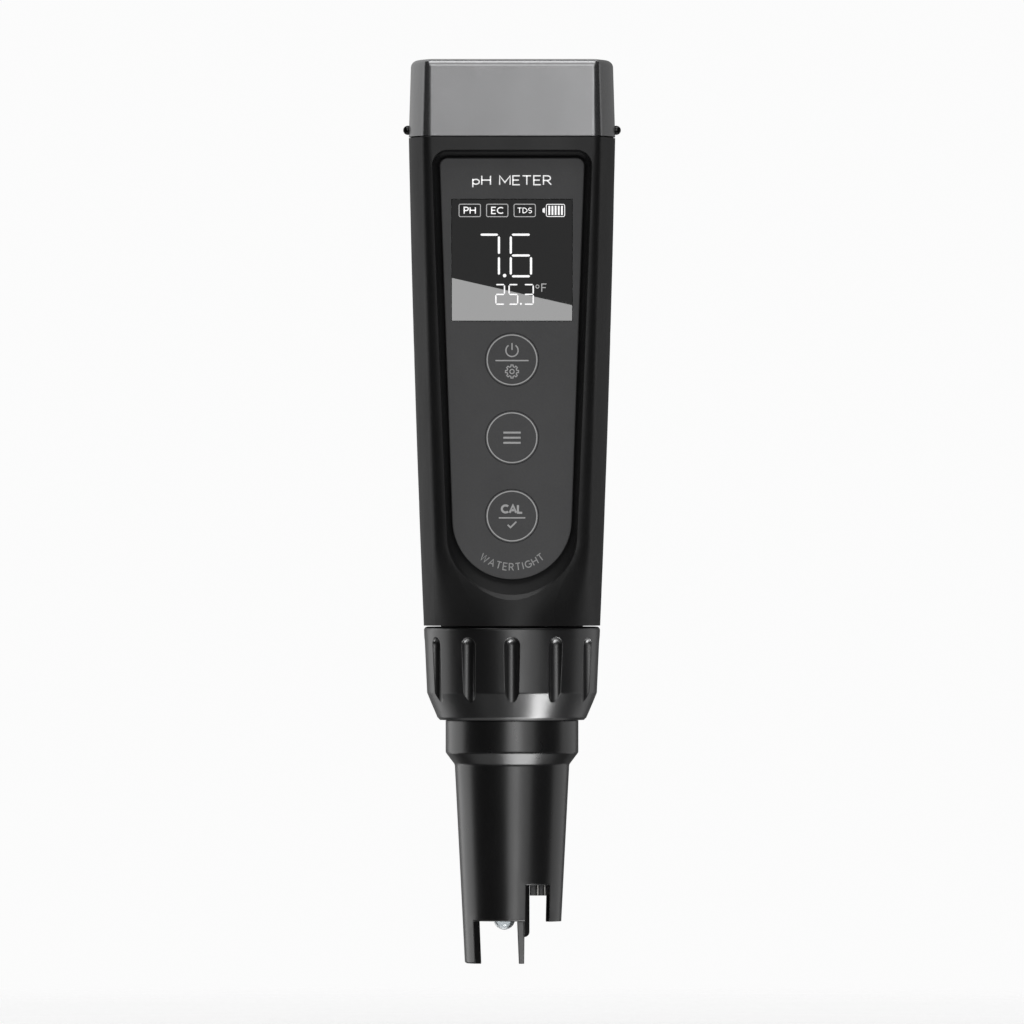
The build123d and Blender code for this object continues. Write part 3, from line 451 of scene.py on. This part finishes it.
# Letters on a unit-high grid: (advance width, strokes).
LETTERS = {
    "A": (0.78, [[(0, 0), (0.39, 1), (0.78, 0)], [(0.14, 0.34), (0.64, 0.34)]]),
    "C": (0.74, [arc(0.46, 0.5, 0.46, 48, 312, 22)]),
    "D": (0.70, [[(0, 0), (0, 1), (0.28, 1)] + arc(0.28, 0.5, 0.42, 62, -62, 12) + [(0.28, 0), (0, 0)]]),
    "E": (0.56, [[(0.56, 1), (0, 1), (0, 0), (0.56, 0)], [(0, 0.52), (0.48, 0.52)]]),
    "F": (0.54, [[(0.54, 1), (0, 1), (0, 0)], [(0, 0.52), (0.46, 0.52)]]),
    "G": (0.80, [arc(0.46, 0.5, 0.46, 48, 330, 24) + [(0.86, 0.46), (0.52, 0.46)]]),
    "H": (0.70, [[(0, 0), (0, 1)], [(0.70, 0), (0.70, 1)], [(0, 0.52), (0.70, 0.52)]]),
    "I": (0.08, [[(0.04, 0), (0.04, 1)]]),
    "L": (0.52, [[(0, 1), (0, 0), (0.52, 0)]]),
    "M": (0.84, [[(0, 0), (0, 1), (0.42, 0.25), (0.84, 1), (0.84, 0)]]),
    "P": (0.58, [[(0, 0), (0, 1), (0.30, 1)] + BOWL]),
    "R": (0.62, [[(0, 0), (0, 1), (0.30, 1)] + BOWL, [(0.30, 0.48), (0.62, 0)]]),
    "S": (0.60, [arc(0.30, 0.745, 0.255, 35, 250, 14) + arc(0.30, 0.245, 0.255, 70, -145, 14)]),
    "T": (0.68, [[(0, 1), (0.68, 1)], [(0.34, 1), (0.34, 0)]]),
    "W": (1.08, [[(0, 1), (0.27, 0), (0.54, 1), (0.81, 0), (1.08, 1)]]),
    "p": (0.50, [[(0, 0.66), (0, -0.28)], arc(0.25, 0.33, 0.27, 150, -150, 22)]),
    " ": (0.30, []),
}


def natural_width(text, gap):
    return sum(LETTERS[c][0] for c in text) + gap * (len(text) - 1)


def word(text, cx, foot, height, width, stroke):
    """Strokes for one line of lettering, centred on cx and stretched to the given width."""
    sx = width / natural_width(text, LETTER_GAP)
    x = cx - width / 2
    strokes = []
    for c in text:
        advance, shapes = LETTERS[c]
        for shape in shapes:
            strokes.append(line([(x + px * sx, foot + pz * height) for px, pz in shape], stroke))
        x += (advance + LETTER_GAP) * sx
    return strokes


def word_on_arc(text, cx, cz, radius, half_angle, height, stroke):
    """Lettering that hangs inside the foot of a circle and reads left to right."""
    natural = natural_width(text, ARC_LETTER_GAP)
    sx = math.radians(2 * half_angle) * radius / natural
    x = -natural / 2
    strokes = []
    for c in text:
        advance, shapes = LETTERS[c]
        turn = (x + advance / 2) * sx / radius
        outward = Vector((math.sin(turn), -math.cos(turn)))
        sideways = Vector((math.cos(turn), math.sin(turn)))
        for shape in shapes:
            points = []
            for px, pz in shape:
                reach = radius - (pz - 0.5) * height
                points.append(Vector((cx, cz)) + outward * reach + sideways * (px - advance / 2) * sx)
            strokes.append(line(points, stroke))
        x += advance + ARC_LETTER_GAP
    return strokes


# ---------------------------------------------------------------- display
# The seven bars of a numeral, each from one end to the other on a unit square.
BARS = {
    "a": ((0.10, 1.0), (0.90, 1.0)), "b": ((1.0, 0.94), (1.0, 0.56)), "c": ((1.0, 0.44), (1.0, 0.06)),
    "d": ((0.10, 0.0), (0.90, 0.0)), "e": ((0.0, 0.44), (0.0, 0.06)), "f": ((0.0, 0.94), (0.0, 0.56)),
    "g": ((0.10, 0.5), (0.90, 0.5)),
}
LIT_BARS = {"2": "abged", "3": "abgcd", "5": "afgcd", "6": "afgecd", "7": "abc"}

# The row of signs at the top of the display: three mode flags, then the battery.
WINDOW_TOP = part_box("display_window")[1].z / MM
ROW_Z = WINDOW_TOP - 2.25
ROW_CORNER = 0.3
FIRST_FLAG_X = -8.3
FLAG_PITCH = 5.4
FLAG_SIZE = (4.2, 2.45)

# The two readings below the row: the foot and the head of each one's numerals.
LARGE_FOOT = WINDOW_TOP - 15.4
LARGE_HEAD = WINDOW_TOP - 6.8
SMALL_FOOT = WINDOW_TOP - 20.8
SMALL_HEAD = WINDOW_TOP - 16.7


def numerals(text, spans, foot, head, stroke):
    """Seven-segment numerals with tapered ends, one across each span of x, from foot up to head."""
    half = stroke / 2
    outlines = []
    for figure, (x0, x1) in zip(text, spans):
        width = x1 - x0 - stroke
        height = head - foot - stroke
        for bar in LIT_BARS[figure]:
            a, b = (Vector((x0 + half + u * width, foot + half + v * height)) for u, v in BARS[bar])
            along = (b - a).normalized() * half
            across = Vector((-along.y, along.x))
            outlines.append([a - along, a + across, b + across, b + along, b - across, a - across])
    return outlines


def slab(left, right, left_half, right_half):
    """Four corners of a shape in the display's top row, from its half height at each end."""
    return [
        (left, ROW_Z - left_half), (right, ROW_Z - right_half),
        (right, ROW_Z + right_half), (left, ROW_Z + left_half),
    ]


def mode_flags():
    """A rounded box for each mode, with the mode's letters in it."""
    boxes, labels = [], []
    modes = (("PH", 1.24, 2.2, 0.21), ("EC", 1.24, 2.2, 0.21), ("TDS", 0.96, 2.8, 0.15))
    for i, (text, height, width, stroke) in enumerate(modes):
        x = FIRST_FLAG_X + i * FLAG_PITCH
        boxes.append(loop(rounded_box(x, ROW_Z, *FLAG_SIZE, ROW_CORNER), width=0.16))
        labels += word(text, x, ROW_Z - height / 2, height, width, stroke)
    printed("segment_flags", "housing", SEGMENT_SOFT, boxes)
    printed("segment_labels", "housing", SEGMENT, labels)


def battery_sign():
    """A rounded case with five bars in it and a tapered nose on its left."""
    case_x, case_width, case_height = 8.55, 3.6, 2.4
    first_bar, bar_pitch, bar_width, bar_half = 7.15, 0.62, 0.35, 0.9
    nose_left, nose_right, nose_tip_half, nose_root_half = 6.0, 6.45, 0.3, 0.55
    case = loop(rounded_box(case_x, ROW_Z, case_width, case_height, ROW_CORNER), width=0.14)
    fills = []
    for i in range(5):
        left = first_bar + i * bar_pitch
        right = left + bar_width
        fills.append(slab(left, right, bar_half, bar_half))
    fills.append(slab(nose_left, nose_right, nose_tip_half, nose_root_half))
    printed("segment_battery", "housing", SEGMENT, [case], fills)


def readings():
    """The large acidity reading, the small temperature below it, and the temperature's unit."""
    large_spans = ((-6.6, -2.35), (-0.45, 3.95))
    small_spans = ((-3.3, -1.35), (-0.7, 1.25), (2.3, 4.3))
    large = numerals("76", large_spans, LARGE_FOOT, LARGE_HEAD, stroke=0.43)
    small = numerals("253", small_spans, SMALL_FOOT, SMALL_HEAD, stroke=0.26)
    large.append(ring(-1.45, LARGE_FOOT + 0.35, r=0.34, steps=16))
    small.append(ring(1.75, SMALL_FOOT + 0.2, r=0.2, steps=16))
    degree = loop(ring(5.0, SMALL_HEAD - 0.5, r=0.32, steps=20), width=0.13)
    unit = word("F", cx=6.3, foot=SMALL_HEAD - 1.5, height=1.5, width=0.9, stroke=0.17)
    printed("segment_reading", "housing", SEGMENT, fills=large)
    printed("segment_temperature", "housing", SEGMENT, fills=small)
    printed("segment_unit", "housing", SEGMENT_SOFT, [degree] + unit)


# ---------------------------------------------------------------- panel and keys
KEY_RING_R = 4.88
KEY_RING_STROKE = 0.22
FOOT_MIDDLE_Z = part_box("face_overlay")[0].z / MM + 11.7  # the middle of the panel's round foot


def panel_words():
    """A plain title above the display, and a line of small letters round the panel's foot."""
    title = word("pH METER", cx=0, foot=WINDOW_TOP + 2.8, height=1.75, width=15.4, stroke=0.24)
    printed("print_title", "housing", PRINT, title)
    mark = word_on_arc("WATERTIGHT", 0, FOOT_MIDDLE_Z, radius=9.3, half_angle=40, height=1.35, stroke=0.2)
    printed("print_seal_mark", "housing", PRINT_SOFT, mark)


def power_symbol(cx, cz, r, stroke):
    """A ring that is open at the top, with an upright bar in the gap."""
    half_gap = 35
    open_ring = arc(cx, cz, r, 90 + half_gap, 450 - half_gap, 30)
    bar = [(cx, cz + 0.1), (cx, cz + r + 0.25)]
    return [line(open_ring, stroke), line(bar, stroke)]


def gear_outline(cx, cz, r_root, r_tip, teeth):
    """Teeth that narrow from 0.6 of their pitch at the root to 0.4 at the tip."""
    points = []
    for i in range(teeth):
        for r, share in ((r_root, -0.30), (r_tip, -0.20), (r_tip, 0.20), (r_root, 0.30)):
            turn = math.tau * (i + share) / teeth
            points.append((cx + r * math.sin(turn), cz + r * math.cos(turn)))
    return points


def level_line(half_width, z, stroke):
    """A level line, centred on the panel."""
    return line([(-half_width, z), (half_width, z)], stroke)


# Each sign's heights are from its key's middle, z.
def power_sign(z):
    symbol_z, line_z, gear_z = z + 1.85, z - 0.15, z - 2.3
    gear = loop(gear_outline(0, gear_z, r_root=0.98, r_tip=1.3, teeth=8), width=0.2)
    hub = loop(ring(0, gear_z, r=0.42, steps=24), width=0.2)
    return power_symbol(0, symbol_z, r=1.2, stroke=0.25) + [level_line(3.25, line_z, 0.26), gear, hub]


def menu_sign(z):
    pitch = 1.0
    return [level_line(1.7, z + i * pitch, 0.38) for i in (-1, 0, 1)]


def calibration_sign(z):
    letters_z, line_z, tick_z = z + 0.65, z - 0.35, z - 2.25
    tick = line([(-0.85, tick_z + 0.55), (-0.3, tick_z), (0.85, tick_z + 1.15)], width=0.3)
    letters = word("CAL", cx=0, foot=letters_z, height=1.5, width=4.0, stroke=0.42)
    return letters + [level_line(2.6, line_z, 0.26), tick]


def key_prints():
    """On each key, a ring near its rim and the key's own signs."""
    for name, key, sign in (
        ("print_power", "key_power", power_sign),
        ("print_menu", "key_menu", menu_sign),
        ("print_cal", "key_cal", calibration_sign),
    ):
        low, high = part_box(key)
        z = (low.z + high.z) / 2 / MM
        rim = loop(ring(0, z, KEY_RING_R, steps=72), KEY_RING_STROKE)
        printed(name, key, PRINT_KEY, [rim] + sign(z))


panel_words()
mode_flags()
battery_sign()
readings()
key_prints()


# ---------------------------------------------------------------- lights
def lit_apart(label, names):
    """A collection of CAD nodes that some lights are limited to."""
    group = bpy.data.collections.new(label)
    for name in names:
        group.objects.link(nodes[name])
    return group


bodies = frame["record"]["behaviour"]["bodies"]
round_names = bodies["probe"] + bodies["collar"]
ROUND_PARTS = lit_apart("round_parts", round_names)
CAP_PARTS = lit_apart("cap_parts", bodies["cap"])
COLLAR_PARTS = lit_apart("collar_parts", bodies["collar"])
HEAD_PARTS = lit_apart("head_parts", [name for name in nodes if name not in round_names])
ALL_PARTS = None

# Each card's name, (width, height) in m, azimuth and elevation in degrees, distance in m, radiance, and
# the parts it lights. Azimuth is from straight ahead of the display, positive to the right. The cap's rear
# cards stand 30 mm in front of the others, because a reflection sees only one of two cards in one place.
CARDS = (
    # the even tone of the front, and a brighter streak in it
    ("front_wide", (1.3, 1.7), 6, 4, 2.3, 0.64, ALL_PARTS),
    ("front_narrow", (0.20, 1.1), 8.5, 2, 2.2, 2.6, ALL_PARTS),
    # edges and slopes that look up
    ("front_top", (1.4, 0.45), 0, 22, 1.5, 0.9, ALL_PARTS),
    ("overhead", (1.2, 0.7), 0, 78, 1.2, 2.2, ALL_PARTS),
    ("cap_top", (1.4, 0.9), 4, 44, 1.3, 0.75, CAP_PARTS),
    # the facets at the sides of the head
    ("rear_left", (1.22, 1.5), -153, 0, 1.4, 0.23, ALL_PARTS),
    ("rear_right", (0.96, 1.5), 159, 0, 1.4, 0.09, ALL_PARTS),
    ("cap_rear_left", (1.22, 1.5), -153, 0, 1.37, 0.17, CAP_PARTS),
    ("cap_rear_right", (0.96, 1.5), 159, 0, 1.37, 0.07, CAP_PARTS),
    # the upright stripes on the collar and the probe, and their pale rims
    ("strip", (0.98, 1.1), 5, 2, 2.2, 1.8, ROUND_PARTS),
    ("round_fill", (0.55, 1.3), 29, 0, 1.6, 0.95, ROUND_PARTS),
    ("side_left", (1.35, 1.5), -118, 0, 1.4, 1.3, ROUND_PARTS),
    ("side_right", (1.35, 1.5), 119, 0, 1.4, 0.60, ROUND_PARTS),
    # the highlights on the cones that look down
    ("low_right", (0.32, 0.4), 50, -52, 1.0, 25.0, COLLAR_PARTS),
    ("below", (0.48, 0.36), 34, -70, 0.8, 8.0, ROUND_PARTS),
    # light thrown back by the floor
    ("bounce", (1.4, 1.4), 0, -90, 0.9, 0.45, ALL_PARTS),
    # the sides and the back, as other views show them
    ("flank_left", (0.80, 1.5), -121, -4, 1.4, 0.42, HEAD_PARTS),
    ("flank_right", (0.80, 1.5), 121, -4, 1.4, 0.36, HEAD_PARTS),
    ("rear_high", (1.4, 0.8), 180, 52, 1.3, 0.9, ALL_PARTS),
)
AIM = Vector((0, 0, 0.09))  # the point on the pen that the cards face
CAMERA_AWAY = 4.0
UPRIGHT = Matrix.Rotation(math.radians(90), 4, "X")  # turns what looks down to look along +Y

GLARE_SIZE = (0.10, 0.04)
GLARE_RADIANCE = 8.5
GLARE_X = -0.0044
GLARE_Z = 0.1561
GLARE_TILT = math.radians(12.8)


def area_light(name, size, radiance, place, only=ALL_PARTS):
    """A soft rectangular light that the camera doesn't see, on all parts or only on one collection's."""
    light = bpy.data.lights.new(name, "AREA")
    light.shape = "RECTANGLE"
    light.size, light.size_y = size
    light.energy = radiance * math.pi * light.size * light.size_y
    holder = bpy.data.objects.new(name, light)
    scene.collection.objects.link(holder)
    holder.matrix_world = place
    holder.visible_camera = False
    if only:
        holder.light_linking.receiver_collection = only


def facing_pen(azimuth, elevation, distance):
    """The place of a card on a sphere round the pen, turned to face its middle."""
    az, el = math.radians(azimuth), math.radians(elevation)
    away = Vector((math.sin(az) * math.cos(el), -math.cos(az) * math.cos(el), math.sin(el)))
    turn = (-away).to_track_quat("-Z", "Y").to_matrix().to_4x4()
    return Matrix.Translation(AIM + away * distance) @ turn


def light_cards():
    for name, size, azimuth, elevation, distance, radiance, only in CARDS:
        area_light(name, size, radiance, facing_pen(azimuth, elevation, distance), only)


def light_glare():
    """A small tilted card above the camera, which the display's lower part reflects as a pale wedge."""
    turn = Matrix.Rotation(GLARE_TILT, 4, "Y") @ UPRIGHT
    place = Matrix.Translation((GLARE_X, -CAMERA_AWAY, GLARE_Z)) @ turn
    area_light("glare", GLARE_SIZE, GLARE_RADIANCE, place)


# ---------------------------------------------------------------- stage
FLOOR_Z = -0.0145  # clear of the probe at the end of its 14 mm of travel
FLOOR_HALF = 1.6
FLOOR_FADE = (0.10, 0.42)  # solid within the first distance from the middle, gone beyond the second
SENSOR_WIDTH = 36
FIELD_WIDTH = 0.202  # what the camera takes in across the pen, in m


def pale_floor():
    """A pale floor that fades out into the pale surroundings."""
    signs = ((-1, -1), (1, -1), (1, 1), (-1, 1))
    corners = [(x * FLOOR_HALF, y * FLOOR_HALF, FLOOR_Z) for x, y in signs]
    mesh = bpy.data.meshes.new("floor")
    mesh.from_pydata(corners, [], [(0, 1, 2, 3)])
    m = Mat("floor_pale")
    reach = m.new("ShaderNodeVectorMath", operation="LENGTH")
    m.link(m.coord, reach.inputs[0])
    m.set(
        Base_Color=m.tint(m.noise(3, detail=4), (0.80, 0.80, 0.80), (0.83, 0.83, 0.83)),
        Roughness=m.span(m.noise(40), 0.8, 0.95),
        Normal=m.bump(m.noise(900, detail=2), 0.05, 200 * MICRON),
        Alpha=m.span(reach.outputs["Value"], 1.0, 0.0, *FLOOR_FADE),
        Emission_Color=(*WHITE, 1),
        Emission_Strength=0.55,
    )
    mesh.materials.append(m.mat)
    floor = bpy.data.objects.new("floor", mesh)
    scene.collection.objects.link(floor)
    floor.visible_glossy = False
    floor.visible_shadow = False


def surroundings(seen, felt):
    """Pale all round as the camera sees it, also through glass, and dim as the surfaces see it."""
    world = bpy.data.worlds.new("studio")
    scene.world = world
    world.use_nodes = True
    tree = world.node_tree
    path = tree.nodes.new("ShaderNodeLightPath")
    either = tree.nodes.new("ShaderNodeMath")
    either.operation = "MAXIMUM"
    tree.links.new(path.outputs["Is Camera Ray"], either.inputs[0])
    tree.links.new(path.outputs["Is Transmission Ray"], either.inputs[1])
    level = tree.nodes.new("ShaderNodeMapRange")
    level.inputs["To Min"].default_value = felt
    level.inputs["To Max"].default_value = seen
    tree.links.new(either.outputs[0], level.inputs["Value"])
    background = tree.nodes["Background"]
    background.inputs["Color"].default_value = (*WHITE, 1)
    tree.links.new(level.outputs["Result"], background.inputs["Strength"])


def straight_on_camera():
    """A long lens square to the display, level with the middle of the pen."""
    lens = bpy.data.cameras.new("camera")
    lens.sensor_width = SENSOR_WIDTH
    lens.lens = SENSOR_WIDTH * CAMERA_AWAY / FIELD_WIDTH
    camera = bpy.data.objects.new("camera", lens)
    scene.collection.objects.link(camera)
    middle_z = (cad_bounds[0][2] + cad_bounds[1][2]) / 2
    camera.matrix_world = Matrix.Translation((0, -CAMERA_AWAY, middle_z)) @ UPRIGHT
    scene.camera = camera


pale_floor()
surroundings(seen=0.97, felt=0.02)
light_cards()
light_glare()
straight_on_camera()
scene.view_settings.view_transform = "Standard"
